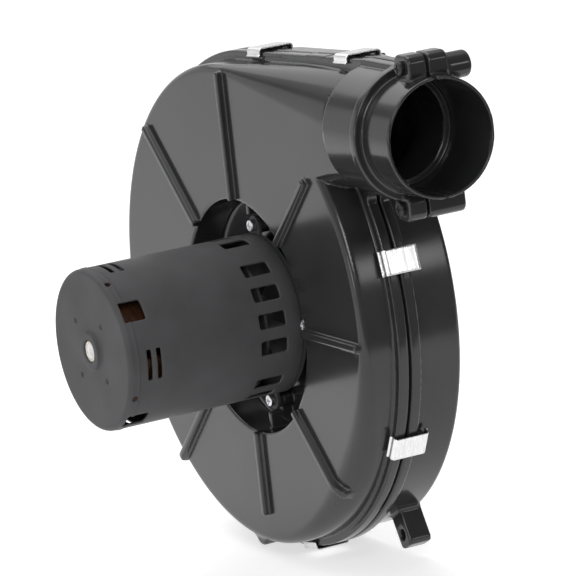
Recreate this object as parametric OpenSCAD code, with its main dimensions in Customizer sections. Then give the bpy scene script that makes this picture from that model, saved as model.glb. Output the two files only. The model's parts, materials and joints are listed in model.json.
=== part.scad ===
// Combustion fan for a gas furnace: a split scroll housing held by spring clips,
// a slotted motor on four rubber-mounted ears, and a backward-curved impeller.
// Origin: centre of the inlet, on the rear mounting face. +Y points into the
// appliance, so the motor stands out along -Y. The outlet faces +X, and +Z is up.

/* [Housing] */
// Depth of the housing, from the rear face to the front face
housing_depth = 57; // [56:0.5:60]
// Depth of the rear half, which ends at the parting plane
rear_depth = 32.5; // [32:0.5:33.5]
// Wall thickness of both halves
wall = 3; // [2.5:0.25:3.25]
// How far the parting flange stands out from the wall
flange_proud = 4.5; // [4:0.25:5]
// Width of each flange lip, along the shaft
lip_w = 6; // [5:0.5:7]
// Thickness of the seal between the two lips
seal_t = 1.2; // [1:0.1:1.4]

/* [Scroll] */
// Radius of the right-hand arc, from the bottom up to the cut-off
right_r = 128; // [127:0.5:129]
// Radius of the lower left arc
low_r = 124.5; // [124:0.5:126]
// Radius of the upper left arc
high_r = 129; // [128:0.5:130]
// Rise of the straight top wall, in degrees
top_tilt = 3.15; // [2.5:0.05:3.5]

/* [Outlet] */
// Outside radius of the outlet collar
collar_r = 30; // [29.5:0.25:30.5]
// Radius of the socket inside the collar
socket_r = 28.5; // [28:0.25:28.75]
// Depth of that socket
socket_depth = 40; // [36:1:42]
// Radius of the throat behind the socket
throat_r = 25.2; // [24:0.1:26]
// Distance of the collar's mouth from the shaft
mouth_x = 177.5; // [175:0.5:180]
// Height of the collar's axis above the shaft
collar_z = 108.7; // [108:0.1:109]

/* [Motor recess and inlet] */
// Radius of the recess that the motor stands in
recess_r = 61.5; // [61:0.5:62]
// Depth of the recess floor below the front face
recess_depth = 20; // [19:0.5:21]
// Radius of the inlet opening
inlet_r = 38; // [37:0.5:38.5]
// Width of the ribs on the front face
rib_w = 4.5; // [4:0.25:5]
// Height of those ribs
rib_h = 3.5; // [3:0.25:4]

/* [Motor] */
// Outside radius of the motor can
can_r = 42; // [41.5:0.25:42.25]
// Thickness of the can's sheet steel
can_t = 1.2; // [1:0.1:1.2]
// Length of the can
can_length = 100.3; // [99:0.1:102]
// How far the can's open end stands inside the recess
can_sink = 10; // [9.5:0.25:10.5]
// Radius of the shaft
shaft_r = 4; // [3.9:0.05:4.02]

/* [Impeller] */
// Outside radius of the impeller
wheel_r = 90; // [86:1:92]
// Number of blades
blade_count = 14; // [10:1:18]
// Height of the blades, along the shaft
blade_h = 18; // [16:0.5:18.5]

/* [Hidden] */
$fn = 96;
far = 400;
cut = 1;
run_gap = 0.04;
arc_step = 3;
front_y = -housing_depth;
part_y = -rear_depth;
front_lip_y = part_y - seal_t / 2;
rear_lip_y = part_y + seal_t / 2;
floor_y = front_y + recess_depth;
// Centres of the scroll's three tangent arcs, as [x, z]
right_c = [-7.5, 6];
low_c = [right_c.x, right_c.y - right_r + low_r];
high_c = [low_c.x - low_r + high_r, low_c.y];
// The outlet duct goes from a box at the cut-off to a round end, where the neck goes on
cutoff = [75, 78];
join_z = 84;
duct_x = 118;
neck_r = 32;
neck_start_x = 108;
throat_start_x = 111;
throat_step = 1.1;
hoop_r = 34.2;
hoop_x = [146.5, 152];
// Clamp lugs over and under the collar: [x, z] of the screw, half width, half height
top_lug = [163.5, 143.2];
bottom_lug = [150.5, 72.5];
lug_half = [7.5, 6.5];
lug_back_y = -11;
lug_front_y = -43;
lug_screw_r = 2;
// The top screw's boss: a round end behind the top lug, set lower than it
top_lug_back_y = -21;
nut_boss = [163.5, 140];
nut_boss_r = 6.8;
nut_boss_end_y = -7;
// Ribs, every 45 degrees from +X towards +Z: how far out each one runs
rib_reach = [118, 114, 129, 128, 131, 128.5, 106, 117];
// Motor ears, bosses, grommets and screws
ear_r = 46.5;
ear_y = front_y + can_sink;
ear_t = 1.6;
grommet_t = 2.5;
boss_r = 4.6;
boss_y = ear_y + ear_t + grommet_t;
gusset_w = 3.5;
gusset_y = ear_y - 3;
screw_r = 1.95;
seal_hole_r = 8;
// Spring clips
clip_w = 13;
clip_y = [-40.5, -20.2];
clip_t = 1;
clip_gap = 0.4;
seat_top = 5.6;
seat_w = 10;
// Mounting ears: direction from the shaft in degrees, and the distance of the hole
ear_list = [[-62, 131], [-118, 131], [152, 143], [208, 143]];
ear_hole_r = 2.75;
ear_half = 5.5;
ear_depth = 13;
ear_inset = 22;
ear_tip = 7;
// Motor insides
can_y = ear_y;
can_front_y = can_y - can_length;
can_in = can_r - can_t;
stack = [-122, -84];
stack_r = can_in - 0.2;
coil_y = [-142, -72];
bore_r = 22.3;
yoke_in = 33.3;
core_r = 21.9;
bearing_r = 8;
bearing_len = 9;
wheel_back_y = -31;
plate_t = 2;
eye_r = 42.5;
hub_r = 11;
shaft_end_y = -9.5;
stub_r = 3;
hub_y = [-33, -15.5];

// A flat outline in X and Z, made into a slab from y0 to y1
module slab(y0, y1) {
    translate([0, y1, 0]) rotate([90, 0, 0]) linear_extrude(y1 - y0) children();
}

// A rod along Y at [x, z]
module rod(r, y0, y1, at = [0, 0]) {
    translate([at.x, y1, at.y]) rotate([90, 0, 0]) cylinder(r = r, h = y1 - y0);
}

// A ring along Y
module tube(r_in, r_out, y0, y1, at = [0, 0]) {
    difference() {
        rod(r_out, y0, y1, at);
        rod(r_in, y0 - cut, y1 + cut, at);
    }
}

// Part of a ring along Y, from angle a0 over the angle da
module ring_part(r_in, r_out, y0, y1, a0, da) {
    translate([0, y1, 0]) rotate([90, 0, 0]) rotate_extrude(angle = da, start = a0)
        translate([r_in, 0]) square([r_out - r_in, y1 - y0]);
}

// A rod along X on the collar's axis
module collar_rod(r, x0, x1, facets = $fn) {
    translate([x0, part_y, collar_z]) rotate([0, 90, 0]) cylinder(r = r, h = x1 - x0, $fn = facets);
}

// Turns children so that their +X points away from the shaft at this angle
module spoke(angle) {
    rotate([0, -angle, 0]) children();
}

function dir(angle) = [cos(angle), sin(angle)];

// Points of an arc from angle a0 to a1, without its first one
function arc(centre, r, a0, a1) = let (n = ceil(abs(a1 - a0) / arc_step))
    [for (i = [1:n]) centre + r * dir(a0 + (a1 - a0) * i / n)];

// Height of the straight top wall, d outside the wall's face
function top_z(x, d) = high_c.y + (high_r + d) / cos(top_tilt) + (x - high_c.x) * tan(top_tilt);

// The scroll in outline, grown by d, up to the cut-off
module scroll(d) {
    start = asin((join_z - right_c.y) / (right_r + d));
    polygon(concat([right_c + (right_r + d) * dir(start)],
        arc(right_c, right_r + d, start, -90),
        arc(low_c, low_r + d, 270, 180),
        arc(high_c, high_r + d, 180, 90 + top_tilt),
        [[cutoff.x, top_z(cutoff.x, d)], [cutoff.x, join_z]]));
}

// The duct beyond the cut-off: a box that turns into a round end, flat at front and rear
module duct(d, end_r, end_x) {
    slice = 0.5;
    hull() {
        translate([cutoff.x, front_y - d, cutoff.y - d])
            cube([slice, housing_depth + 2 * d, top_z(cutoff.x, d) - cutoff.y + d]);
        intersection() {
            collar_rod(end_r, end_x - slice, end_x, 64);
            translate([0, front_y - d, 0]) cube([far, housing_depth + 2 * d, far]);
        }
    }
}

// The flange goes on beside the collar as far as its lugs
module flange_outline() {
    over = [cutoff.x, top_z(cutoff.x, flange_proud)];
    under = cutoff - [0, flange_proud];
    scroll(flange_proud);
    polygon([over, [duct_x, top_z(duct_x, flange_proud)], [duct_x, collar_z + hoop_r],
        [top_lug.x, collar_z + hoop_r], [top_lug.x, collar_z], [bottom_lug.x, collar_z],
        [bottom_lug.x, collar_z - hoop_r], [duct_x, collar_z - hoop_r], under]);
}

// Puts children on the scroll's wall: +X is outwards, at this angle round an arc
module on_arc(centre, r, angle) {
    translate([centre.x, 0, centre.y]) spoke(angle) translate([r, 0, 0]) children();
}

module on_top(x) {
    translate([x, 0, top_z(x, 0)]) spoke(90 + top_tilt) children();
}

// The wall's eight clip places, in the order of the clip nodes
module clip_place(i) {
    if (i == 0) on_arc(right_c, right_r, 15) children();
    if (i == 1) on_arc(right_c, right_r, -28) children();
    if (i == 2) on_arc(right_c, right_r, -82) children();
    if (i == 3) on_arc(low_c, low_r, 232) children();
    if (i == 4) on_arc(low_c, low_r, 184) children();
    if (i == 5) on_arc(high_c, high_r, 138) children();
    if (i == 6) on_top(7.5) children();
    if (i == 7) on_top(98.5) children();
}

// Raised seats that each clip hooks over, on one side of the parting plane
module clip_seats(y0, y1) {
    for (i = [0:7]) clip_place(i)
        translate([-wall / 2, y0, -seat_w / 2]) cube([seat_top + wall / 2, y1 - y0, seat_w]);
}

module lug(at, y0, y1) {
    translate([at.x - lug_half.x, y0, at.y - lug_half.y])
        cube([2 * lug_half.x, y1 - y0, 2 * lug_half.y]);
}

// Neck, hoop and collar, solid
module collar_outside() {
    collar_rod(neck_r, neck_start_x, hoop_x[0] + cut);
    collar_rod(hoop_r, hoop_x[0], hoop_x[1]);
    collar_rod(collar_r, hoop_x[1] - cut, mouth_x);
}

module collar_inside() {
    collar_rod(throat_r, throat_start_x, mouth_x - socket_depth + cut);
    collar_rod(socket_r, mouth_x - socket_depth, mouth_x + cut);
}

// Everything on the far side of a plane across the shaft
module beyond(y, side) {
    translate([-far, side > 0 ? y : y - far, -far]) cube([2 * far, far, 2 * far]);
}

// The duct's outside, cut off at the lip of one half
module duct_half(side) {
    difference() {
        duct(0, neck_r - 0.5, duct_x);
        beyond(side > 0 ? front_lip_y : rear_lip_y, side);
    }
}

module duct_inside() {
    duct(-wall, throat_r + throat_step, throat_start_x + 2);
}

module recess_boss(angle) {
    spoke(angle) {
        rod(boss_r, boss_y, floor_y, [ear_r, 0]);
        translate([ear_r, boss_y, -gusset_w / 2]) cube([recess_r + 1 - ear_r, floor_y - boss_y, gusset_w]);
        translate([ear_r + 6, gusset_y, -gusset_w / 2]) cube([recess_r - 5 - ear_r, floor_y - gusset_y, gusset_w]);
    }
}

module front_shell() {
    color([0.13, 0.13, 0.14]) difference() {
        union() {
            difference() {
                union() {
                    slab(front_y, front_lip_y) scroll(0);
                    duct_half(1);
                    slab(front_lip_y - lip_w, front_lip_y) flange_outline();
                    clip_seats(clip_y[0] + clip_t + clip_gap, front_lip_y);
                    rod(6.5, front_y + 2, front_lip_y, [-15, right_c.y - right_r + 2.5]);
                    difference() {
                        union() {
                            collar_outside();
                            lug(top_lug, lug_front_y, front_lip_y);
                            lug(bottom_lug, lug_front_y, front_lip_y);
                        }
                        beyond(front_lip_y, 1);
                    }
                }
                slab(front_y + wall, 0) scroll(-wall);
                duct_inside();
                collar_inside();
            }
            rod(recess_r + wall, front_y + wall - cut, floor_y + wall);
            for (k = [0:7]) spoke(45 * k) translate([recess_r + 1, front_y - rib_h, -rib_w / 2])
                cube([rib_reach[k] - recess_r - 1, rib_h + cut, rib_w]);
        }
        difference() {
            rod(recess_r, front_y - far, floor_y);
            for (a = [0:90:270]) recess_boss(a);
        }
        rod(seal_hole_r, floor_y - cut, 0);
        for (a = [0:90:270]) spoke(a) rod(screw_r + run_gap, boss_y - cut, floor_y - 1, [ear_r, 0]);
        rod(lug_screw_r + 0.2, lug_front_y - cut, 0, top_lug);
        rod(lug_screw_r + 0.2, lug_front_y - cut, 0, bottom_lug);
    }
}

module mounting_ear(angle, hole_at) {
    spoke(angle) translate([hole_at - ear_inset, -ear_depth, -ear_half])
        cube([ear_inset + ear_tip, ear_depth, 2 * ear_half]);
}

module rear_shell() {
    color([0.12, 0.12, 0.13]) difference() {
        union() {
            difference() {
                union() {
                    slab(rear_lip_y, 0) scroll(0);
                    duct_half(-1);
                    slab(rear_lip_y, rear_lip_y + lip_w) flange_outline();
                    clip_seats(rear_lip_y, clip_y[1] - clip_t - clip_gap);
                    for (e = ear_list) mounting_ear(e[0], e[1]);
                    difference() {
                        union() {
                            collar_outside();
                            lug(top_lug, rear_lip_y, top_lug_back_y);
                            rod(nut_boss_r, top_lug_back_y - cut, nut_boss_end_y, nut_boss);
                            lug(bottom_lug, rear_lip_y, lug_back_y);
                        }
                        beyond(rear_lip_y, -1);
                    }
                }
                slab(front_y, -wall) scroll(-wall);
                duct_inside();
                collar_inside();
            }
            rod(inlet_r + 2.5, -8, -wall + cut);
        }
        rod(inlet_r, -10, cut);
        tube(46, 56, -1.5, cut);
        for (e = ear_list) spoke(e[0]) rod(ear_hole_r, -ear_depth - cut, cut, [e[1], 0]);
        rod(lug_screw_r + run_gap, rear_lip_y - cut, lug_back_y - 2, top_lug);
        rod(lug_screw_r + run_gap, rear_lip_y - cut, lug_back_y - 2, bottom_lug);
        beyond(0, 1);
    }
}

// Flat gasket in the parting joint, set back from the lips' edges
module housing_seal() {
    color([0.07, 0.07, 0.07]) difference() {
        slab(front_lip_y, rear_lip_y) {
            scroll(1);
            translate([cutoff.x, collar_z - collar_r + 1])
                square([mouth_x - cutoff.x - 2, 2 * collar_r - 2]);
        }
        slab(front_lip_y - cut, rear_lip_y + cut) scroll(-wall);
        duct_inside();
        collar_inside();
    }
}

module inlet_gasket() {
    color([0.25, 0.25, 0.25]) tube(46, 56, -1.5, 0);
}

// A spring-steel clip: a flat back and two legs, whose toes turn outwards
module spring_clip() {
    leg = 2.8;
    toe = 1.8;
    translate([seat_top, clip_y[0], -clip_w / 2]) cube([clip_t, clip_y[1] - clip_y[0], clip_w]);
    for (y = [clip_y[0], clip_y[1] - clip_t])
        translate([seat_top - leg, y, -clip_w / 2]) cube([leg + clip_t, clip_t, clip_w]);
    for (y = [clip_y[0] + clip_t - toe, clip_y[1] - clip_t])
        translate([seat_top - leg - clip_t, y, -clip_w / 2]) cube([clip_t, toe, clip_w]);
}

module clip(i) {
    color([0.82, 0.82, 0.84]) clip_place(i) spring_clip();
}

module collar_screw(at) {
    color([0.75, 0.75, 0.77]) {
        rod(3.6, lug_front_y - 2.6, lug_front_y, at);
        rod(lug_screw_r, lug_front_y - cut / 2, lug_back_y - 3, at);
    }
}

// Motor can: drawn cup with a bearing boss in its closed end, windows near that
// end and four groups of four air slots nearer its mouth
module motor_can() {
    front = can_front_y;
    color([0.17, 0.17, 0.18]) difference() {
        union() {
            rod(can_r, front, can_y);
            rod(10, front - 1.6, front + cut);
        }
        difference() {
            rod(can_in, front + can_t, can_y + cut);
            tube(bearing_r + run_gap, 10, front, front + bearing_len + 1);
        }
        rod(5.8, front - 3, front + 2);
        rod(bearing_r + run_gap, front, front + bearing_len + 2);
        for (k = [0:3]) {
            for (s = [-1.5:1:1.5]) spoke(17 + 90 * k + 19.4 * s)
                translate([can_r - 3, can_y - 24.5, -3.8]) cube([6, 15, 7.6]);
            spoke(35 + 90 * k) translate([can_r - 4, front + 1.5, -5.8]) cube([8, 13.5, 11.6]);
            for (w = [0, 5.5]) spoke(-5 + 90 * k)
                translate([can_r - 5, front + 10.5 + w, -8]) cube([10, 2.4, 16]);
            spoke(46 + 90 * k) rod(1.4, front - cut, front + 3, [20, 0]);
        }
        spoke(180) translate([can_r - 3, can_y - 37, 0]) rotate([0, 90, 0]) cylinder(r = 6, h = 6);
    }
}

// Flat end plate with four ears, and the cup of the rear bearing
module motor_end_bell() {
    color([0.17, 0.17, 0.18]) difference() {
        union() {
            rod(can_r, ear_y, ear_y + ear_t);
            for (a = [0:90:270]) spoke(a) {
                translate([0, ear_y, -5]) cube([ear_r, ear_t, 10]);
                rod(5, ear_y, ear_y + ear_t, [ear_r, 0]);
            }
            rod(10, ear_y - bearing_len - 1, ear_y + cut);
        }
        rod(bearing_r + run_gap, ear_y - bearing_len, ear_y + ear_t + cut);
        rod(5, -far, 0);
        for (a = [0:90:270]) spoke(a) rod(2.3, -far, 0, [ear_r, 0]);
    }
}

module lead_grommet() {
    color([0.05, 0.05, 0.05]) spoke(180) translate([can_r - can_t, can_y - 37, 0]) rotate([0, 90, 0])
        difference() {
            union() {
                cylinder(r = 5.9, h = can_t);
                translate([0, 0, can_t + 0.3]) cylinder(r = 8, h = 2.5);
                cylinder(r = 5.5, h = can_t + 1);
            }
            translate([0, 0, -cut]) cylinder(r = 3, h = 8);
        }
}

// Lip seal in the floor of the recess
module shaft_seal() {
    color([0.08, 0.08, 0.08]) tube(shaft_r + 0.3, seal_hole_r, floor_y, floor_y + wall);
}

module mount_screw(angle) {
    color([0.8, 0.8, 0.82]) spoke(angle) {
        rod(3.5, ear_y - 3, ear_y, [ear_r, 0]);
        rod(screw_r, ear_y - cut, floor_y - 2, [ear_r, 0]);
    }
}

module mount_grommet(angle) {
    color([0.06, 0.06, 0.06]) spoke(angle) tube(2.1, boss_r, ear_y + ear_t, boss_y, [ear_r, 0]);
}

// Lamination stack: a yoke and four poles
module stator_core() {
    color([0.45, 0.45, 0.47]) {
        tube(yoke_in, stack_r, stack[0], stack[1]);
        for (a = [45:90:315]) ring_part(bore_r, yoke_in, stack[0], stack[1], a - 19, 38);
    }
}

// One coil round each pole
module stator_coils() {
    color([0.72, 0.38, 0.16]) for (a = [45:90:315]) difference() {
        ring_part(25, 32.8, coil_y[0], coil_y[1], a - 42, 84);
        ring_part(24, 34, stack[0] - 0.3, stack[1] + 0.3, a - 19.8, 39.6);
    }
}

module bearing(y0) {
    color([0.78, 0.7, 0.5]) tube(shaft_r + run_gap, bearing_r, y0, y0 + bearing_len - 0.5);
}

module thrust_washer() {
    color([0.85, 0.8, 0.7]) tube(shaft_r + 0.3, 7, ear_y - bearing_len - 2.2, ear_y - bearing_len - 1.2);
}

module shaft() {
    color([0.82, 0.82, 0.84]) {
        rod(shaft_r, can_front_y - 0.6, hub_y[1]);
        rod(stub_r, hub_y[1] - cut, shaft_end_y);
    }
}

module rotor_core() {
    color([0.5, 0.5, 0.52]) tube(shaft_r + run_gap, core_r, stack[0], stack[1]);
}

module rotor_end_rings() {
    color([0.78, 0.78, 0.8]) {
        tube(12, 20.5, stack[0] - 5, stack[0]);
        tube(12, 20.5, stack[1], stack[1] + 5);
    }
}

// Small fan that draws air through the motor, behind the ring of slots
module cooling_fan() {
    disc_y = can_y - 19;
    color([0.2, 0.2, 0.21]) {
        tube(shaft_r + run_gap, 9, disc_y - 7, disc_y);
        tube(8, 37, disc_y, disc_y + 1.6);
        for (k = [0:7]) spoke(45 * k) translate([14, disc_y + 1, -0.8]) cube([22, 11, 1.6]);
    }
}

module slinger() {
    color([0.1, 0.1, 0.1]) tube(shaft_r + run_gap, 9, floor_y - 6, floor_y - 4.5);
}

module impeller_hub() {
    color([0.16, 0.16, 0.17]) tube(shaft_r + run_gap, hub_r, hub_y[0], hub_y[1]);
}

module impeller_backplate() {
    color([0.15, 0.15, 0.16]) tube(hub_r + run_gap, wheel_r, wheel_back_y, wheel_back_y + plate_t);
}

// Backward-curved blades: each an arc from the eye to the rim
module impeller_blades() {
    y0 = wheel_back_y + plate_t;
    blade_t = 1.6;
    arc_r = 60;
    inner = 47 * dir(0);
    outer = (wheel_r - 1.5) * dir(32);
    half = (outer - inner) / 2;
    half_len = norm(half);
    rise = sqrt(arc_r * arc_r - half_len * half_len);
    centre = inner + half + rise * [half.y, -half.x] / half_len * -1;
    start = atan2(inner.y - centre.y, inner.x - centre.x);
    sweep = 2 * asin(half_len / arc_r);
    color([0.17, 0.17, 0.18]) for (k = [0:blade_count - 1]) spoke(k * 360 / blade_count)
        translate([centre.x, 0, centre.y])
            ring_part(arc_r - blade_t, arc_r, y0, y0 + blade_h, start, sweep);
}

module impeller_shroud() {
    y0 = wheel_back_y + plate_t + blade_h;
    color([0.15, 0.15, 0.16]) tube(eye_r, wheel_r, y0, y0 + plate_t);
}

module impeller_washer() {
    color([0.75, 0.75, 0.77]) tube(stub_r + run_gap, 7, hub_y[1], hub_y[1] + 1);
}

module impeller_nut() {
    color([0.8, 0.8, 0.82]) difference() {
        translate([0, hub_y[1] + 5, 0]) rotate([90, 0, 0]) cylinder(r = 5.6, h = 4, $fn = 6);
        rod(stub_r + run_gap, -far, 0);
    }
}

front_shell();
rear_shell();
housing_seal();
inlet_gasket();
clip(0);  // clip_right_upper
clip(1);  // clip_right_lower
clip(2);  // clip_bottom
clip(3);  // clip_left_lower
clip(4);  // clip_left
clip(5);  // clip_left_upper
clip(6);  // clip_top
clip(7);  // clip_outlet
collar_screw(top_lug);  // collar_screw_top
collar_screw(bottom_lug);  // collar_screw_bottom
motor_can();
motor_end_bell();
lead_grommet();
shaft_seal();
mount_screw(0);  // mount_screw_right
mount_screw(90);  // mount_screw_top
mount_screw(180);  // mount_screw_left
mount_screw(270);  // mount_screw_bottom
mount_grommet(0);  // mount_grommet_right
mount_grommet(90);  // mount_grommet_top
mount_grommet(180);  // mount_grommet_left
mount_grommet(270);  // mount_grommet_bottom
stator_core();
stator_coils();
bearing(can_front_y + 0.6);  // front_bearing
bearing(ear_y - bearing_len);  // rear_bearing
thrust_washer();
shaft();
rotor_core();
rotor_end_rings();
cooling_fan();
slinger();
impeller_hub();
impeller_backplate();
impeller_blades();
impeller_shroud();
impeller_washer();
impeller_nut();
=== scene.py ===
"""Combustion fan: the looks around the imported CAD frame.

The moulded, drawn and bent pieces are made from signed distance fields. A field
says how far a point is from a shape's surface, and is below zero inside it, so
shapes join with real fillets. mesh_from() turns a field into a closed mesh.
Fields work in millimetres in the frame of the part; Blender objects are in metres.
"""
import json
import math

import bpy
import numpy as np
from mathutils import Matrix, Vector


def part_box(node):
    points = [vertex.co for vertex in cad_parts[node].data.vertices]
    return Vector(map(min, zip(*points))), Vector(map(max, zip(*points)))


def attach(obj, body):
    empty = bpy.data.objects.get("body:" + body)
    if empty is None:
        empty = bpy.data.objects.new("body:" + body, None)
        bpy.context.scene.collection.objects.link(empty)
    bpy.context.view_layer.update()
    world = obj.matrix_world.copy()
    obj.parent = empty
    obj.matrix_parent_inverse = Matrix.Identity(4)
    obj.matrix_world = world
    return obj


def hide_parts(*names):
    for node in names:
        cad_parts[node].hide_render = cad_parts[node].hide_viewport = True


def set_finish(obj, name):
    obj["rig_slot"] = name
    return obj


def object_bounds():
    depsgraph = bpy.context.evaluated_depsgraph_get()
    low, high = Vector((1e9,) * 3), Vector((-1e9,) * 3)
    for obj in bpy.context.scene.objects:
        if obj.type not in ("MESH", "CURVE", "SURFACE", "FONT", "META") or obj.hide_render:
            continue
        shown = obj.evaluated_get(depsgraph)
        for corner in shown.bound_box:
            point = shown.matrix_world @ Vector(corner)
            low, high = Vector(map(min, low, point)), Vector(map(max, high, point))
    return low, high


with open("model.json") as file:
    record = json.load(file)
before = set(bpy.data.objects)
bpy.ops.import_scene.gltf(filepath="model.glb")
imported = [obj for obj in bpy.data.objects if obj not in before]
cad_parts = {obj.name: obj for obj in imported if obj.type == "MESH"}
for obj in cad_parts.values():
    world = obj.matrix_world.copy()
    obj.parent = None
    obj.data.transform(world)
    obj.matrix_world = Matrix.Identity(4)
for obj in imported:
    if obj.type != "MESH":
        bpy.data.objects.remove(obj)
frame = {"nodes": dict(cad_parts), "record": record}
cad_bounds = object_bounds()

MM = 0.001
MOUNTS = {m["name"]: m for m in frame["record"]["mounts"]}


def box_mm(node):
    """Lowest and highest corner of a CAD node, in millimetres."""
    return [np.array(corner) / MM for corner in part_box(node)]


# ---------------------------------------------------------------- sizes, from the frame
FRONT_HIGH = box_mm("front_shell")[1]
REAR_LOW = box_mm("rear_shell")[0]
CAN_LOW, CAN_HIGH = box_mm("motor_can")
BELL_HIGH = box_mm("motor_end_bell")[1]
INLET_R = MOUNTS["inlet"]["dims"]["r_mm"]
SOCKET_R = MOUNTS["outlet_socket"]["dims"]["r_mm"]
SOCKET_DEPTH = MOUNTS["outlet_socket"]["dims"]["length_mm"]
MOUTH_X = FRONT_HIGH[0]
COLLAR_Z = MOUNTS["outlet_socket"]["pos_m"][2] / MM
PART_Y = MOUNTS["outlet_socket"]["pos_m"][1] / MM
FRONT_LIP_Y = FRONT_HIGH[1]
REAR_LIP_Y = REAR_LOW[1]
SEAL_LOW, SEAL_HIGH = box_mm("shaft_seal")

# ---------------------------------------------------------------- driving dimensions
# The scroll: its depth, its wall, and the arcs of its outline as centre (x, z) and radius
DEPTH = 57.0
FRONT_Y = -DEPTH
WALL = 3.0
RIGHT_C, RIGHT_R = (-7.5, 6.0), 128.0
LOW_C, LOW_R = (-7.5, 2.5), 124.5
HIGH_C, HIGH_R = (-3.0, 2.5), 129.0
TOP_TILT = math.radians(3.15)
CUTOFF_X, CUTOFF_Z = 75.0, 78.0
TOP_EDGE_R, LOWER_RIGHT_EDGE_R = 4.0, 12.8

# The parting flange: how far it stands proud, each lip's width, the rounded seam
PROUD = 4.5
LIP_W = 6.0
SEAM_R = 1.1

# The duct, its neck, the hoop, the collar and the throat inside
DUCT_X = 118.0
DUCT_EDGE_R = 5.5
NECK_R = 32.0
HOOP_R, HOOP_X = 34.2, (146.5, 152.0)
COLLAR_R = 30.0
THROAT_R, THROAT_X = 25.2, 111.0

# The clamp lugs and the long nut boss behind the upper one, as (x, z)
TOP_LUG, BOTTOM_LUG = (163.5, 143.2), (150.5, 72.5)
LUG_HALF, LUG_CORNER_R = (7.5, 6.5), 4.5
LUG_FRONT_Y, LUG_BACK_Y, TOP_LUG_BACK_Y = -43.0, -11.0, -21.0
NUT_BOSS, NUT_BOSS_R, NUT_BOSS_Y = (163.5, 140.0), 6.8, (-24.0, -7.0)

# The recess and the ribs, one every 45 degrees from +X, each out to its own reach
RECESS_R = 61.5
FLOOR_Y = SEAL_LOW[1]
RIB_REACH = (118, 114, 129, 128, 131, 128.5, 106, 117)
RIB_W, RIB_H, RIB_DRAFT = 4.5, 3.5, 0.12
QUARTERS = (0, 90, 180, 270)

# The mounting ears, as the angle and the place of the hole, and the inlet's groove
EARS = ((-62, 131), (-118, 131), (152, 143), (208, 143))
EAR_HOLE_R = MOUNTS["lower_ears"]["dims"]["hole_r_mm"]
GROOVE_MID_R, GROOVE_HALF, GROOVE_DEPTH = 51, 5, 1.5

# The motor's can, and the ears that its screws go through
CAN_R = CAN_HIGH[0]
CAN_T = 1.2
EAR_R = 46.5
EAR_FACE_Y = BELL_HIGH[1] - 1.6

# The spring clips and the seats moulded under them
CLIP_W, CLIP_GAP = 13.0, 0.4
CLIP_FRONT_Y, CLIP_REAR_Y = -40.5, -20.2
SEAT_TOP, SEAT_HALF_W = 5.6, 5


# ---------------------------------------------------------------- distance fields
def cut_to(a, b, r=0.0):
    """Inside both a and b, with the edge between them rounded to radius r."""
    over_a, over_b = np.maximum(a + r, 0), np.maximum(b + r, 0)
    return np.minimum(-r, np.maximum(a, b)) + np.hypot(over_a, over_b)


def join(a, b, r=0.0):
    """Inside a or b, with a fillet of radius r in the corner between them."""
    return -cut_to(-a, -b, r)


def remove(a, b, r=0.0):
    """Inside a but not inside b, with the edge between them rounded."""
    return cut_to(a, -b, r)


def rect(u, v, half_u, half_v, r=0.0):
    """A rectangle about the origin, with corners of radius r."""
    u, v = np.abs(u) - half_u + r, np.abs(v) - half_v + r
    return np.hypot(np.maximum(u, 0), np.maximum(v, 0)) + np.minimum(np.maximum(u, v), 0) - r


def span(t, low, high):
    """Between two planes."""
    return np.abs(t - (low + high) / 2) - (high - low) / 2


def rod(across, along, r, low, high, edge=0.5):
    """A rod, from the distance across its axis and the place along it."""
    return cut_to(across - r, span(along, low, high), edge)


def turned(x, z, degrees):
    """Coordinates away from the shaft at this angle, and across that direction."""
    c, s = math.cos(math.radians(degrees)), math.sin(math.radians(degrees))
    return x * c + z * s, z * c - x * s


def top_line(x, z):
    """Distance above the straight top wall."""
    return (z - HIGH_C[1]) * math.cos(TOP_TILT) - (x - HIGH_C[0]) * math.sin(TOP_TILT) - HIGH_R


def top_z(x):
    """Height of the top wall's outside."""
    return HIGH_C[1] + HIGH_R / math.cos(TOP_TILT) + (x - HIGH_C[0]) * math.tan(TOP_TILT)


def scroll(x, z):
    """The scroll's outline: three arcs and the straight top wall. The right arc ends
    a little above the cut-off, inside the duct."""
    right = np.hypot(x - RIGHT_C[0], z - RIGHT_C[1]) - RIGHT_R
    right = np.maximum(right, z - CUTOFF_Z - 14)
    low = np.hypot(x - LOW_C[0], z - LOW_C[1]) - LOW_R
    high = np.hypot(x - HIGH_C[0], z - HIGH_C[1]) - HIGH_R
    top = top_line(x, z)
    along = (x - HIGH_C[0]) * math.cos(TOP_TILT) + (z - HIGH_C[1]) * math.sin(TOP_TILT)
    upper_left = np.where(along < 0, high, top)
    channel = np.maximum(np.maximum(upper_left, x - CUTOFF_X), RIGHT_C[1] - z)
    left = np.where(z < LOW_C[1], low, upper_left)
    return np.where(x < RIGHT_C[0], left, np.minimum(right, channel))


def top_corner(x):
    """Radius of the top's front edge, which grows towards the neck."""
    return TOP_EDGE_R + (NECK_R - 2 - TOP_EDGE_R) * np.clip(x / DUCT_X, 0, 1)


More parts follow.
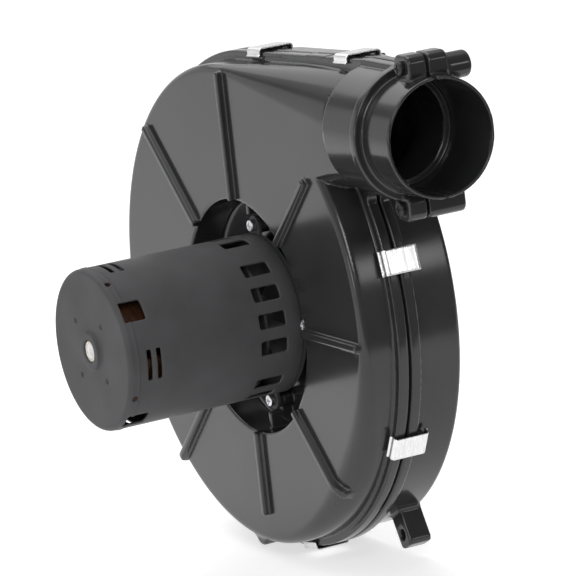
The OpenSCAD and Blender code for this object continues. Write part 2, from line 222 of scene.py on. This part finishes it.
def duct(x, y, z, inset, end_r, end_x):
    """The duct beyond the cut-off: a box with round edges that turns smoothly into a
    round end, under the top's front edge.

    Known fault: the edge holds the duct's front at FRONT_Y as far as DUCT_X, but the
    neck's front is 7.5 mm further out and the throat's is 0.7 mm further out. So the
    wall is open from about x 105 to 116 and z 98 to 127. The front plane of the edge
    should move out to the neck's front as t goes to 1."""
    t = np.clip((x - CUTOFF_X) / (end_x - CUTOFF_X), 0, 1)
    t = t * t * (3 - 2 * t)
    start_top_z = top_z(CUTOFF_X)
    start_r = DUCT_EDGE_R - inset
    half_y = (1 - t) * (DEPTH / 2 - inset - start_r)
    half_z = (1 - t) * ((start_top_z - CUTOFF_Z) / 2 - inset - start_r)
    mid_y = (1 - t) * FRONT_Y / 2 + t * PART_Y
    mid_z = (1 - t) * (start_top_z + CUTOFF_Z) / 2 + t * COLLAR_Z
    radius = t * end_r + (1 - t) * start_r
    q_y, q_z = np.abs(y - mid_y) - half_y, np.abs(z - mid_z) - half_z
    tube = np.hypot(np.maximum(q_y, 0), np.maximum(q_z, 0))
    tube = tube + np.minimum(np.maximum(q_y, q_z), 0) - radius
    edge = cut_to(top_line(x, z) + inset, FRONT_Y + inset - y, top_corner(x) - inset)
    tube = np.maximum(tube, edge)
    return np.maximum(tube, span(x, CUTOFF_X - 25, end_x))


def flange(x, y, z, low, high):
    """The parting flange: round the scroll, and beside the collar as far as its lugs."""
    over = rect(x - 112, z - 121, 51.5, COLLAR_Z + HOOP_R - 121, 3)
    over = np.maximum(over, top_line(x, z) - PROUD)
    under = rect(x - 111, z - 92, 39.5, 92 - COLLAR_Z + HOOP_R, 3)
    plan = join(join(scroll(x, z) - PROUD, under, 7), over, 1)
    return cut_to(plan, span(y, low, high), 0.9)


def front_corner(x, z):
    """Radius of the front edge: large at the lower right, small on the left, and
    growing along the top towards the outlet."""
    angle = np.degrees(np.arctan2(z, x))
    near = np.clip(np.abs(angle + 43) / 50, 0, 1)
    at_top = np.clip((z - 95) / 15, 0, 1)
    swell = 0.5 + 0.5 * np.cos(np.pi * near)
    elsewhere = TOP_EDGE_R + (LOWER_RIGHT_EDGE_R - TOP_EDGE_R) * swell
    return at_top * top_corner(x) + (1 - at_top) * elsewhere


# Each clip's name, its arc's centre and radius, and its angle. On the straight top
# wall there is no arc: the second number is the clip's x.
CLIP_PLACES = (
    ("clip_right_upper", RIGHT_C, RIGHT_R, 15),
    ("clip_right_lower", RIGHT_C, RIGHT_R, -28),
    ("clip_bottom", RIGHT_C, RIGHT_R, -82),
    ("clip_left_lower", LOW_C, LOW_R, 232),
    ("clip_left", LOW_C, LOW_R, 184),
    ("clip_left_upper", HIGH_C, HIGH_R, 138),
    ("clip_top", None, 7.5, 93.15),
    ("clip_outlet", None, 98.5, 93.15),
)


def clip_frame(place):
    """A clip's place on the wall, and its directions outwards and along the wall."""
    name, centre, r, degrees = place
    a = math.radians(degrees)
    out = np.array([math.cos(a), 0, math.sin(a)])
    if centre is None:
        at = np.array([r, 0, top_z(r)])
    else:
        at = np.array([centre[0], 0, centre[1]]) + r * out
    return at, out, np.array([-math.sin(a), 0, math.cos(a)])


def clip_coordinates(place, x, z):
    """Coordinates of a clip's place: outwards from the wall, and along it."""
    at, out, along = clip_frame(place)
    from_x, from_z = x - at[0], z - at[2]
    return from_x * out[0] + from_z * out[2], from_x * along[0] + from_z * along[2]


def clip_seats(x, y, z, low, high):
    """The raised seats that the clips snap over, between two planes."""
    shape = None
    for place in CLIP_PLACES:
        up, side = clip_coordinates(place, x, z)
        seat = rect(up - SEAT_TOP / 2 + 1, side, SEAT_TOP / 2 + 1, SEAT_HALF_W, 0.8)
        seat = cut_to(seat, span(y, low, high), 0.8)
        shape = seat if shape is None else np.minimum(shape, seat)
    return shape


def clamp_lug(x, y, z, at, low, high):
    """One half of a clamp lug, between two planes."""
    plan = rect(x - at[0], z - at[1], *LUG_HALF, LUG_CORNER_R)
    return cut_to(plan, span(y, low, high), 1.2)


def collar_outside(x, y, z):
    """The outside of the neck, the hoop and the collar."""
    across = np.hypot(y - PART_Y, z - COLLAR_Z)
    neck = rod(across, x, NECK_R, DUCT_X - 2, HOOP_X[0] + 1, 0)
    hoop = rod(across, x, HOOP_R, *HOOP_X, 0.9)
    collar = rod(across, x, COLLAR_R, HOOP_X[1] - 1, MOUTH_X, 0.7)
    return join(join(neck, hoop, 0.6), collar, 0.8)


def passage(x, y, z):
    """Everything hollow: the scroll, the duct, the throat and the socket."""
    corner = np.maximum(front_corner(x, z) - WALL, 1.0)
    chamber = cut_to(scroll(x, z) + WALL, FRONT_Y + WALL - y, corner)
    chamber = cut_to(chamber, y + WALL, 1.0)
    across = np.hypot(y - PART_Y, z - COLLAR_Z)
    inner = duct(x, y, z, WALL, THROAT_R + 1.1, THROAT_X + 2)
    inner = cut_to(inner, y + WALL, 1.0)
    throat = rod(across, x, THROAT_R, THROAT_X - 6, MOUTH_X - SOCKET_DEPTH + 2, 0)
    socket = rod(across, x, SOCKET_R, MOUTH_X - SOCKET_DEPTH, MOUTH_X + 20, 0.5)
    return np.minimum(np.minimum(chamber, inner), np.minimum(throat, socket))


def recess(x, y, z):
    """The motor's recess, with its four bosses and their gussets left standing."""
    from_shaft = np.hypot(x, z)
    hollow = cut_to(from_shaft - RECESS_R, y - FLOOR_Y, 2.5)
    for angle in QUARTERS:
        out, side = turned(x, z, angle)
        boss = rod(np.hypot(out - EAR_R, side), y, 4.6, BELL_HIGH[1] + 2.5, FLOOR_Y + 4, 0.6)
        low_part = cut_to(rect(out - (RECESS_R + EAR_R) / 2, side, 8.5, 1.75, 0.5),
                          span(y, BELL_HIGH[1] + 2.5, FLOOR_Y + 4), 0.4)
        high_part = cut_to(rect(out - RECESS_R, side, RECESS_R - EAR_R - 6, 1.75, 0.5),
                           span(y, BELL_HIGH[1] - 4.6, FLOOR_Y + 4), 0.6)
        hollow = remove(hollow, np.minimum(boss, np.minimum(low_part, high_part)), 0.8)
    return hollow


def front_shell(x, y, z):
    """The front half: the ribbed face, the recess, half of the collar, and a drain."""
    from_shaft = np.hypot(x, z)
    shape = cut_to(scroll(x, z), FRONT_Y - y, front_corner(x, z))
    shape = np.minimum(shape, duct(x, y, z, 0, NECK_R, DUCT_X))
    shape = join(shape, flange(x, y, z, FRONT_LIP_Y - LIP_W, FRONT_LIP_Y + 5), 1.5)
    shape = np.minimum(shape, clip_seats(x, y, z, CLIP_FRONT_Y + 1 + CLIP_GAP, FRONT_LIP_Y + 5))
    drain = rod(np.hypot(x + 15, z + 119.5), y, 6.5, FRONT_Y + 2, FRONT_LIP_Y + 5, 1.5)
    shape = join(shape, drain, 1.5)
    outlet = collar_outside(x, y, z)
    for at in (TOP_LUG, BOTTOM_LUG):
        lug = clamp_lug(x, y, z, at, LUG_FRONT_Y, FRONT_LIP_Y + 5)
        outlet = join(outlet, lug, 1.6)
    shape = join(shape, outlet, 1.0)
    ribs = []
    for k, reach in enumerate(RIB_REACH):
        out, side = turned(x, z, 45 * k)
        draft = RIB_DRAFT * (y - FRONT_Y)
        rib = cut_to(np.abs(side) - RIB_W / 2 - draft, span(out, RECESS_R - 3, reach), 0.8)
        rib = cut_to(rib, span(y, FRONT_Y - RIB_H, FRONT_Y + 8), 0.9)
        ribs.append(cut_to(rib, shape - RIB_H, 0.9))
    for rib in ribs:
        shape = join(shape, rib, 0.5)
    shape = remove(shape, passage(x, y, z), 0.3)
    pocket = rod(from_shaft, y, RECESS_R + WALL, FRONT_Y + 1, FLOOR_Y + WALL, 1.0)
    shape = remove(np.minimum(shape, pocket), recess(x, y, z), 0.9)
    shape = remove(shape, from_shaft - SEAL_HIGH[0])
    for angle in QUARTERS:
        out, side = turned(x, z, angle)
        pilot = np.maximum(np.hypot(out - EAR_R, side) - 2.0, span(y, FLOOR_Y - 10, FLOOR_Y - 1))
        shape = remove(shape, pilot)
    for at in (TOP_LUG, BOTTOM_LUG):
        shape = remove(shape, np.hypot(x - at[0], z - at[1]) - 2.2)
    return cut_to(shape, y - FRONT_LIP_Y, SEAM_R)


def mounting_ear(x, y, z, degrees, hole_at):
    """A square foot with rounded corners, hollow behind, and its screw hole."""
    out, side = turned(x, z, degrees)
    foot = cut_to(rect(out - hole_at + 7.5, side, 14.5, 5.5, 2.6), span(y, -13, 0), 1.0)
    return foot, np.hypot(out - hole_at, side)


def rear_shell(x, y, z):
    """The rear half: the inlet and its groove, the ears, half of the collar."""
    from_shaft = np.hypot(x, z)
    shape = cut_to(scroll(x, z), y, 2.5)
    shape = np.minimum(shape, np.maximum(duct(x, y, z, 0, NECK_R, DUCT_X), y))
    shape = join(shape, flange(x, y, z, REAR_LIP_Y - 5, REAR_LIP_Y + LIP_W), 1.5)
    shape = np.minimum(shape, clip_seats(x, y, z, REAR_LIP_Y - 5, CLIP_REAR_Y - 1 - CLIP_GAP))
    outlet = collar_outside(x, y, z)
    for at, back_y in ((TOP_LUG, TOP_LUG_BACK_Y), (BOTTOM_LUG, LUG_BACK_Y)):
        lug = clamp_lug(x, y, z, at, REAR_LIP_Y - 5, back_y)
        outlet = join(outlet, lug, 1.6)
    nut_boss = rod(np.hypot(x - NUT_BOSS[0], z - NUT_BOSS[1]), y, NUT_BOSS_R, *NUT_BOSS_Y, 1.8)
    shape = join(shape, join(outlet, nut_boss, 1.0), 1.0)
    holes = None
    for degrees, hole_at in EARS:
        foot, hole = mounting_ear(x, y, z, degrees, hole_at)
        shape = join(shape, foot, 2.0)
        holes = hole if holes is None else np.minimum(holes, hole)
    shape = remove(shape, passage(x, y, z), 0.3)
    spigot = rod(from_shaft, y, INLET_R + 2.5, -8, -1, 0.5)
    shape = join(shape, spigot, 1.0)
    shape = remove(shape, from_shaft - INLET_R, 0.4)
    groove = np.maximum(np.abs(from_shaft - GROOVE_MID_R) - GROOVE_HALF, -GROOVE_DEPTH - y)
    shape = remove(shape, groove, 0.2)
    shape = remove(shape, holes - EAR_HOLE_R, 0.4)
    for at in (TOP_LUG, BOTTOM_LUG):
        pilot = np.maximum(np.hypot(x - at[0], z - at[1]) - 2.05, y - LUG_BACK_Y + 2)
        shape = remove(shape, pilot)
    shape = np.maximum(shape, y)
    return cut_to(shape, REAR_LIP_Y - y, SEAM_R)


def motor_can(x, y, z):
    """A drawn cup with a rounded rim, a bead, a bearing boss, windows and air slots."""
    front = CAN_LOW[1] + 1.6
    from_shaft = np.hypot(x, z)
    cup = cut_to(from_shaft - CAN_R, front - y, 2.6)
    hollow = cut_to(from_shaft - CAN_R + CAN_T, front + CAN_T - y, 1.6)
    bead = np.hypot(from_shaft - CAN_R + 0.15, y - front - 5.2) - 0.5
    boss = rod(from_shaft, y, 10, front - 1.6, front + 9, 0.8)
    shape = join(remove(join(cup, bead, 0.3), hollow), boss, 1.0)
    shape = remove(shape, rod(from_shaft, y, 5.8, front - 9, front + 2), 0.3)
    shape = remove(shape, rod(from_shaft, y, 8.04, front + 0.5, front + 20))
    cuts = None
    for quarter in QUARTERS:
        for step in (-1.5, -0.5, 0.5, 1.5):
            out, side = turned(x, z, 17 + quarter + 19.4 * step)
            slot = np.maximum(rect(side, y - CAN_HIGH[1] + 17, 3.8, 7.5, 1.2), CAN_R - 6 - out)
            cuts = slot if cuts is None else np.minimum(cuts, slot)
        out, side = turned(x, z, 35 + quarter)
        window = np.maximum(rect(side, y - front - 8.6, 5.6, 6.0, 1.0), CAN_R - 8 - out)
        out, side = turned(x, z, -5 + quarter)
        slit_a = np.maximum(rect(side, y - front - 11.7, 8, 1.2, 0.6), CAN_R - 6 - out)
        slit_b = np.maximum(rect(side, y - front - 17.2, 8, 1.2, 0.6), CAN_R - 6 - out)
        out, side = turned(x, z, 46 + quarter)
        dimple = np.maximum(np.hypot(out - 20, side) - 1.4, y - front - 0.7)
        out, side = turned(x, z, -29 + quarter)
        pip = np.maximum(np.hypot(side, y - front - 3.7) - 1.5, CAN_R - 3 - out)
        dimple = np.minimum(dimple, pip)
        cuts = np.minimum(np.minimum(cuts, window), np.minimum(np.minimum(slit_a, slit_b), dimple))
    shape = remove(shape, cuts, 0.2)
    lead = np.maximum(np.hypot(z, y - CAN_HIGH[1] + 37) - 6, x)
    shape = remove(shape, lead, 0.2)
    return cut_to(shape, y - CAN_HIGH[1], 0.3)


def spring_clip(place):
    """A bent strip: a flat back, two rounded bends, and legs whose toes turn outwards."""
    def field(x, y, z):
        up, side = clip_coordinates(place, x, z)
        middle = (CLIP_FRONT_Y + CLIP_REAR_Y) / 2
        half = (CLIP_REAR_Y - CLIP_FRONT_Y) / 2
        y = y - middle
        crown = np.abs(rect(y, up, half - 0.5, SEAT_TOP + 0.5, 1.6)) - 0.5
        strip = np.maximum(crown, 2.4 - up)
        toe = rect(np.abs(y) - half + 0.05, up - 2.3, 0.85, 0.5, 0.4)
        strip = join(strip, toe, 0.3)
        return cut_to(strip, rect(side, up - 4, CLIP_W / 2, 9, 0.2), 0.35)
    return field


def pan_head(x0, z0, low, high, r, shank_r, shank_end):
    """A screw along Y with a domed head towards -Y, a cross recess and a threaded shank."""
    def field(x, y, z):
        across = np.hypot(x - x0, z - z0)
        ball_y = high + r * 0.9
        dome = np.maximum(np.hypot(across * 0.55, y - ball_y) - (ball_y - low), y - high)
        head = cut_to(cut_to(across - r, dome, 0.5), y - high, 0.2)
        slot = np.maximum(rect(x - x0, y - low, r * 0.62, 0.9), np.abs(z - z0) - 0.45)
        cross = np.maximum(rect(z - z0, y - low, r * 0.62, 0.9), np.abs(x - x0) - 0.45)
        head = remove(head, np.minimum(slot, cross), 0.1)
        thread = 0.12 * np.sin(2 * np.pi * y / 1.4 + np.arctan2(z - z0, x - x0))
        shank = cut_to(across - shank_r - thread + 0.12, span(y, high - 0.5, shank_end), 0.2)
        return np.minimum(head, shank)
    return field


def front_bearing(x, y, z):
    """A sintered ring whose nose stands in the can's boss, round the shaft's end."""
    across = np.hypot(x, z)
    low, high = box_mm("front_bearing")
    body = rod(across, y, high[0], low[1], high[1], 0.4)
    nose = rod(across, y, 5.6, low[1] - 1.4, high[1], 0.5)
    return remove(np.minimum(body, nose), across - 4.04, 0.15)


def stator_coils(x, y, z):
    """Four rounded bundles of wire, one round each pole."""
    low, high = box_mm("stator_coils")
    stack_low, stack_high = box_mm("stator_core")
    across = np.hypot(x, z)
    shape = None
    for degrees in (45, 135, 225, 315):
        out, side = turned(x, z, degrees)
        angle = np.degrees(np.arctan2(side, out))
        arc = np.abs(angle) / 57.3 * 29
        outer = rect(arc, y - (low[1] + high[1]) / 2, 20.8, (high[1] - low[1]) / 2, 4)
        inner = rect(arc, y - (stack_low[1] + stack_high[1]) / 2, 10.2,
                     (stack_high[1] - stack_low[1]) / 2 + 0.3, 2)
        coil = remove(cut_to(outer, span(across, 24.6, 33.0), 2.0), inner, 1.0)
        shape = coil if shape is None else np.minimum(shape, coil)
    return shape


# ---------------------------------------------------------------- from field to mesh
CORNERS = [(i, j, k) for i in (0, 1) for j in (0, 1) for k in (0, 1)]


def surface_net(field, low, high, step):
    """Points and quads of the surface where field is 0, on a grid of cubes."""
    axes = [np.arange(a - 1.6 * step, b + 2.6 * step, step) for a, b in zip(low, high)]
    x, y, z = np.meshgrid(*[a.astype(np.float32) for a in axes], indexing="ij", sparse=True)
    grid = np.broadcast_to(field(x, y, z), [len(a) for a in axes]).astype(np.float32)
    inside = grid < 0
    wide, deep, tall = (n - 1 for n in inside.shape)
    count = sum(inside[i:i + wide, j:j + deep, k:k + tall].astype(np.uint8)
                for i, j, k in CORNERS)
    active = (count > 0) & (count < 8)
    ids = np.full(active.shape, -1, np.int64)
    ids[active] = np.arange(np.count_nonzero(active))
    cells = np.argwhere(active)
    total, hits = np.zeros(cells.shape), np.zeros(len(cells))
    for axis in range(3):
        unit = np.eye(3, dtype=int)[axis]
        for corner in CORNERS:
            if corner[axis]:
                continue
            a = cells + corner
            b = a + unit
            value_a, value_b = grid[tuple(a.T)], grid[tuple(b.T)]
            crossed = (value_a < 0) != (value_b < 0)
            share = np.where(crossed, value_a / np.where(crossed, value_a - value_b, 1), 0)
            total += np.where(crossed[:, None], a + share[:, None] * unit, 0)
            hits += crossed
    points = total / hits[:, None] * step + [a[0] for a in axes]
    quads = []
    for axis in range(3):
        u, v = (axis + 1) % 3, (axis + 2) % 3
        here = np.moveaxis(inside, (axis, u, v), (0, 1, 2))
        cell = np.moveaxis(ids, (axis, u, v), (0, 1, 2))
        first, second = here[:-1, 1:-1, 1:-1], here[1:, 1:-1, 1:-1]
        ring = [cell[:, :-1, :-1], cell[:, 1:, :-1], cell[:, 1:, 1:], cell[:, :-1, 1:]]
        for change, order in ((first & ~second, (0, 1, 2, 3)), (~first & second, (3, 2, 1, 0))):
            quads.append(np.stack([ring[n][change] for n in order], axis=1))
    return points, np.concatenate(quads)


def settle(points, field, step, rounds=3):
    """Moves points along the field's slope until they lie on its surface."""
    h = 0.02
    for _ in range(rounds):
        x, y, z = points.T
        value = field(x, y, z)
        slope = np.stack([field(x + h, y, z) - field(x - h, y, z),
                          field(x, y + h, z) - field(x, y - h, z),
                          field(x, y, z + h) - field(x, y, z - h)], axis=1) / (2 * h)
        size = np.maximum((slope ** 2).sum(1), 0.25)
        move = -(value / size)[:, None] * slope
        length = np.maximum(np.linalg.norm(move, axis=1), 1e-9)
        points = points + move * np.minimum(1, 0.5 * step / length)[:, None]
    return points


def mesh_from(name, field, low, high, step, keep=1.0):
    """The surface where field is 0, between two corners, as a closed smooth object."""
    points, quads = surface_net(field, low, high, step)
    points = settle(points, field, step)
    mesh = bpy.data.meshes.new(name)
    mesh.vertices.add(len(points))
    mesh.vertices.foreach_set("co", (points * MM).astype(np.float32).ravel())
    mesh.loops.add(quads.size)
    mesh.loops.foreach_set("vertex_index", quads.astype(np.int32).ravel())
    mesh.polygons.add(len(quads))
    mesh.polygons.foreach_set("loop_start", np.arange(0, quads.size, 4, dtype=np.int32))
    mesh.update(calc_edges=True)
    mesh.validate()
    obj = bpy.data.objects.new(name, mesh)
    bpy.context.scene.collection.objects.link(obj)
    if keep < 1:
        thin = obj.modifiers.new("thin", "DECIMATE")
        thin.ratio = keep
        bpy.context.view_layer.update()
        depsgraph = bpy.context.evaluated_depsgraph_get()
        done = bpy.data.meshes.new_from_object(obj.evaluated_get(depsgraph))
        obj.modifiers.clear()
        obj.data = done
        bpy.data.meshes.remove(mesh)
        done.name = name
    obj.data.shade_smooth()
    weigh = obj.modifiers.new("weighted normals", "WEIGHTED_NORMAL")
    weigh.weight = 90
    print("mesh", name, len(obj.data.vertices), len(obj.data.polygons))
    return obj


def replace_node(node, field, step, slot, keep=1.0, body="housing", grow=0.6):
    """Makes the piece that stands for a CAD node, on its body, with its finish."""
    low, high = box_mm(node)
    obj = mesh_from(node + "_shape", field, low - grow, high + grow, step, keep)
    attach(obj, body)
    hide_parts(node)
    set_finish(obj, slot)
    return obj


# ---------------------------------------------------------------- materials
def new_material(name):
    """A node material, with its nodes, its links and its main shader."""
    material = bpy.data.materials.new(name)
    material.use_nodes = True
    nodes, links = material.node_tree.nodes, material.node_tree.links
    return material, nodes, links, nodes["Principled BSDF"]


def noise(nodes, links, scale, detail=2.0, stretch=(1, 1, 1)):
    """Noise laid over the surface in the object's own coordinates."""
    place = nodes.new("ShaderNodeTexCoord")
    mapping = nodes.new("ShaderNodeMapping")
    mapping.inputs["Scale"].default_value = stretch
    texture = nodes.new("ShaderNodeTexNoise")
    texture.inputs["Scale"].default_value = scale
    texture.inputs["Detail"].default_value = detail
    links.new(place.outputs["Object"], mapping.inputs["Vector"])
    links.new(mapping.outputs["Vector"], texture.inputs["Vector"])
    return texture.outputs["Fac"]


def ramp(nodes, links, value, low, high, start=0.3, end=0.7):
    """value from start to end becomes low to high, numbers or colours."""
    node = nodes.new("ShaderNodeValToRGB")
    node.color_ramp.elements[0].position, node.color_ramp.elements[1].position = start, end
    for element, shade in zip(node.color_ramp.elements, (low, high)):
        element.color = (*shade, 1) if isinstance(shade, tuple) else (shade, shade, shade, 1)
    links.new(value, node.inputs["Fac"])
    return node.outputs["Color"]


def bump(nodes, links, height, strength, distance):
    """A normal tilted by the slope of height."""
    node = nodes.new("ShaderNodeBump")
    node.inputs["Strength"].default_value = strength
    node.inputs["Distance"].default_value = distance
    links.new(height, node.inputs["Height"])
    return node.outputs["Normal"]


def finish_material(name, dark, light, rough, metallic=0.0, scale=60, grain=900, depth=0.00004,
                    strength=0.2, stretch=(1, 1, 1), coat=0.0, ior=1.5):
    """A surface whose shade and gloss drift a little, with a fine grain."""
    material, nodes, links, shader = new_material(name)
    drift = noise(nodes, links, scale, 4.0, stretch)
    fine = noise(nodes, links, grain, 2.0, stretch)
    links.new(ramp(nodes, links, drift, dark, light), shader.inputs["Base Color"])
    links.new(ramp(nodes, links, noise(nodes, links, scale * 0.6, 5.0, stretch), *rough),
              shader.inputs["Roughness"])
    links.new(bump(nodes, links, fine, strength, depth), shader.inputs["Normal"])
    shader.inputs["Metallic"].default_value = metallic
    shader.inputs["Coat Weight"].default_value = coat
    shader.inputs["Coat Roughness"].default_value = 0.15
    shader.inputs["IOR"].default_value = ior
    return material


MATERIALS = {
    "housing_plastic": finish_material(
        "housing plastic", (0.016, 0.016, 0.017), (0.025, 0.025, 0.026), (0.13, 0.2),
        scale=25, grain=350, depth=0.00008, strength=0.1),
    "seal_rubber": finish_material(
        "seal rubber", (0.01, 0.01, 0.01), (0.02, 0.02, 0.02), (0.6, 0.8)),
    "grommet_rubber": finish_material(
        "grommet rubber", (0.012, 0.012, 0.012), (0.025, 0.025, 0.025), (0.5, 0.7)),
    "spring_steel": finish_material(
        "spring steel", (0.72, 0.72, 0.72), (0.86, 0.86, 0.86), (0.22, 0.34), 1.0,
        scale=120, stretch=(1, 8, 1)),
    "zinc_screw": finish_material(
        "zinc screw", (0.6, 0.61, 0.62), (0.78, 0.78, 0.8), (0.25, 0.4), 1.0, scale=300),
    "black_screw": finish_material(
        "black oxide", (0.02, 0.02, 0.02), (0.04, 0.04, 0.04), (0.3, 0.4), 0.6, scale=300),
    "motor_paint": finish_material(
        "motor paint", (0.06, 0.06, 0.062), (0.076, 0.076, 0.079), (0.38, 0.46),
        scale=40, grain=1400, depth=0.00008, strength=0.25, ior=1.15),
    "lamination": finish_material(
        "lamination", (0.2, 0.2, 0.21), (0.38, 0.38, 0.4), (0.35, 0.5), 1.0,
        stretch=(0.2, 12, 0.2)),
    "winding": finish_material(
        "winding", (0.05, 0.02, 0.01), (0.12, 0.05, 0.02), (0.35, 0.5), 0.3,
        stretch=(0.3, 6, 6)),
    "bronze": finish_material(
        "bronze", (0.55, 0.5, 0.42), (0.8, 0.76, 0.7), (0.45, 0.6), 1.0, scale=400),
    "shaft_steel": finish_material(
        "shaft steel", (0.5, 0.5, 0.5), (0.8, 0.8, 0.8), (0.35, 0.5), 1.0, scale=300),
    "rotor_cast": finish_material(
        "cast aluminium", (0.5, 0.5, 0.52), (0.7, 0.7, 0.72), (0.4, 0.6), 1.0),
    "washer_nylon": finish_material(
        "nylon", (0.6, 0.55, 0.45), (0.75, 0.7, 0.6), (0.4, 0.55)),
    "fan_plastic": finish_material(
        "fan plastic", (0.03, 0.03, 0.032), (0.06, 0.06, 0.062), (0.4, 0.55)),
    "impeller_plastic": finish_material(
        "impeller plastic", (0.02, 0.02, 0.022), (0.045, 0.045, 0.047), (0.4, 0.55)),
}
SLOTS = {part["node"]: part["material_slot"] for part in frame["record"]["subparts"]}


# ---------------------------------------------------------------- pieces
SHELL_STEP = 0.9
shapes = [
    replace_node("front_shell", front_shell, SHELL_STEP, "housing_plastic", 0.4),
    replace_node("rear_shell", rear_shell, SHELL_STEP, "housing_plastic", 0.4),
    replace_node("motor_can", motor_can, 0.55, "motor_paint", 0.35),
]
shapes.append(replace_node("front_bearing", front_bearing, 0.35, "bronze", grow=3))
shapes.append(replace_node("stator_coils", stator_coils, 0.8, "winding", 0.4))
for place in CLIP_PLACES:
    shapes.append(replace_node(place[0], spring_clip(place), 0.4, "spring_steel", 0.5))
for name, at in (("collar_screw_top", TOP_LUG), ("collar_screw_bottom", BOTTOM_LUG)):
    low, high = box_mm(name)
    screw = pan_head(*at, low[1], LUG_FRONT_Y, 3.6, 2.0, high[1])
    shapes.append(replace_node(name, screw, 0.3, "black_screw"))
for name, angle in (("right", 0), ("top", 90), ("left", 180), ("bottom", 270)):
    node = "mount_screw_" + name
    low, high = box_mm(node)
    x0, z0 = EAR_R * math.cos(math.radians(angle)), EAR_R * math.sin(math.radians(angle))
    screw = pan_head(x0, z0, low[1], EAR_FACE_Y, 3.2, 1.9, high[1])
    shapes.append(replace_node(node, screw, 0.3, "zinc_screw"))

for obj in shapes:
    obj.data.materials.clear()
    obj.data.materials.append(MATERIALS[obj["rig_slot"]])

# The CAD nodes that stay get their material and a small rounded edge.
for node, obj in frame["nodes"].items():
    obj.data.materials.clear()
    obj.data.materials.append(MATERIALS[SLOTS[node]])
    edge = obj.modifiers.new("edge", "BEVEL")
    edge.width = 0.0003
    edge.segments = 2
    edge.limit_method = "ANGLE"
    edge.angle_limit = math.radians(40)

# ---------------------------------------------------------------- camera, floor and lights
# The direction from the motor's side towards the camera, and the one level in its view
FROM_MOTOR_FACE = Vector((0.86855, -0.44819, 0.21153))
LEVEL = Vector((0.47649, 0.87257, -0.10766))
DISTANCE = 2.5
EYE = Vector((0, FRONT_Y * MM, 0)) + DISTANCE * FROM_MOTOR_FACE
AIM = Vector((0.0082, -0.0355, 0.0120))
TOWARDS_CAMERA = (EYE - AIM).normalized()
CAMERA_RIGHT = (LEVEL - LEVEL.dot(TOWARDS_CAMERA) * TOWARDS_CAMERA).normalized()
CAMERA_UP = TOWARDS_CAMERA.cross(CAMERA_RIGHT)

lens = bpy.data.cameras.new("camera")
lens.lens = 302.5
lens.sensor_width = 36
camera = bpy.data.objects.new("camera", lens)
turn = Matrix((CAMERA_RIGHT, CAMERA_UP, TOWARDS_CAMERA)).transposed().to_4x4()
camera.matrix_world = Matrix.Translation(EYE) @ turn
bpy.context.scene.collection.objects.link(camera)
bpy.context.scene.camera = camera

floor_z = cad_bounds[0].z - 0.002
floor_mesh = bpy.data.meshes.new("floor")
# The floor reaches further to +X in front of the fan than beside and behind it.
floor_plan = ((-3.5, -3.5), (1.4, -3.5), (0.45, 0.0), (0.45, 3.5), (-3.5, 3.5))
floor_mesh.from_pydata([(*at, floor_z) for at in floor_plan], [], [(0, 1, 2, 3, 4)])
floor = bpy.data.objects.new("floor", floor_mesh)
bpy.context.scene.collection.objects.link(floor)
material, nodes, links, shader = new_material("floor")
links.new(ramp(nodes, links, noise(nodes, links, 3), 0.6, 0.62), shader.inputs["Base Color"])
shader.inputs["Roughness"].default_value = 0.9
shader.inputs["Emission Color"].default_value = (1, 1, 1, 1)
shader.inputs["Emission Strength"].default_value = 0.62
floor_mesh.materials.append(material)


def softbox(name, place, size, power):
    """A rectangular soft light that faces the origin."""
    light = bpy.data.lights.new(name, "AREA")
    light.shape = "RECTANGLE"
    light.size, light.size_y = size
    light.energy = power
    obj = bpy.data.objects.new(name, light)
    obj.location = place
    obj.rotation_euler = (-Vector(place)).to_track_quat("-Z", "Y").to_euler()
    bpy.context.scene.collection.objects.link(obj)


softbox("overhead", (-0.3, -0.2, 1.6), (1.6, 1.6), 19)
softbox("back", (-1.9, 0.15, 1.25), (1.6, 0.7), 3.2)
softbox("clips", (1.72, 0.9, 0.5), (0.4, 0.3), 1.4)
softbox("edge", (0.9, -1.9, 0.28), (0.25, 0.3), 1.8)
softbox("fill", (1.8, -0.9, 1.0), (0.8, 0.8), 12)

# The world is a pale studio. A ramp over the height of a direction gives it a darker
# band, and directions towards +X and +Y are dimmer. The camera sees plain near-white.
world = bpy.data.worlds.new("world")
bpy.context.scene.world = world
world.use_nodes = True
nodes, links = world.node_tree.nodes, world.node_tree.links
sky = nodes["Background"]
place = nodes.new("ShaderNodeTexCoord")
split = nodes.new("ShaderNodeSeparateXYZ")
links.new(place.outputs["Generated"], split.inputs["Vector"])
grade = nodes.new("ShaderNodeValToRGB")
for element, height, shade in zip(grade.color_ramp.elements, (0.0, 0.95), (0.9, 0.75)):
    element.position, element.color = height, (shade, shade, shade, 1)
for height, shade in ((0.27, 0.85), (0.31, 0.3), (0.38, 0.3), (0.44, 0.6)):
    grade.color_ramp.elements.new(height).color = (shade, shade, shade, 1)
links.new(split.outputs["Z"], grade.inputs["Fac"])
links.new(grade.outputs["Color"], sky.inputs["Color"])
dim_side = nodes.new("ShaderNodeVectorMath")
dim_side.operation = "DOT_PRODUCT"
dim_side.inputs[1].default_value = (0.9, 0.43, 0)
links.new(place.outputs["Generated"], dim_side.inputs[0])
dimmed = ramp(nodes, links, dim_side.outputs["Value"], 1.0, 0.3, 0.1, 0.4)
links.new(dimmed, sky.inputs["Strength"])
plain = nodes.new("ShaderNodeBackground")
plain.inputs["Color"].default_value = (0.95, 0.95, 0.95, 1)
path = nodes.new("ShaderNodeLightPath")
mix = nodes.new("ShaderNodeMixShader")
links.new(path.outputs["Is Camera Ray"], mix.inputs["Fac"])
links.new(sky.outputs["Background"], mix.inputs[1])
links.new(plain.outputs["Background"], mix.inputs[2])
links.new(mix.outputs["Shader"], nodes["World Output"].inputs["Surface"])

bpy.context.scene.view_settings.view_transform = "Standard"
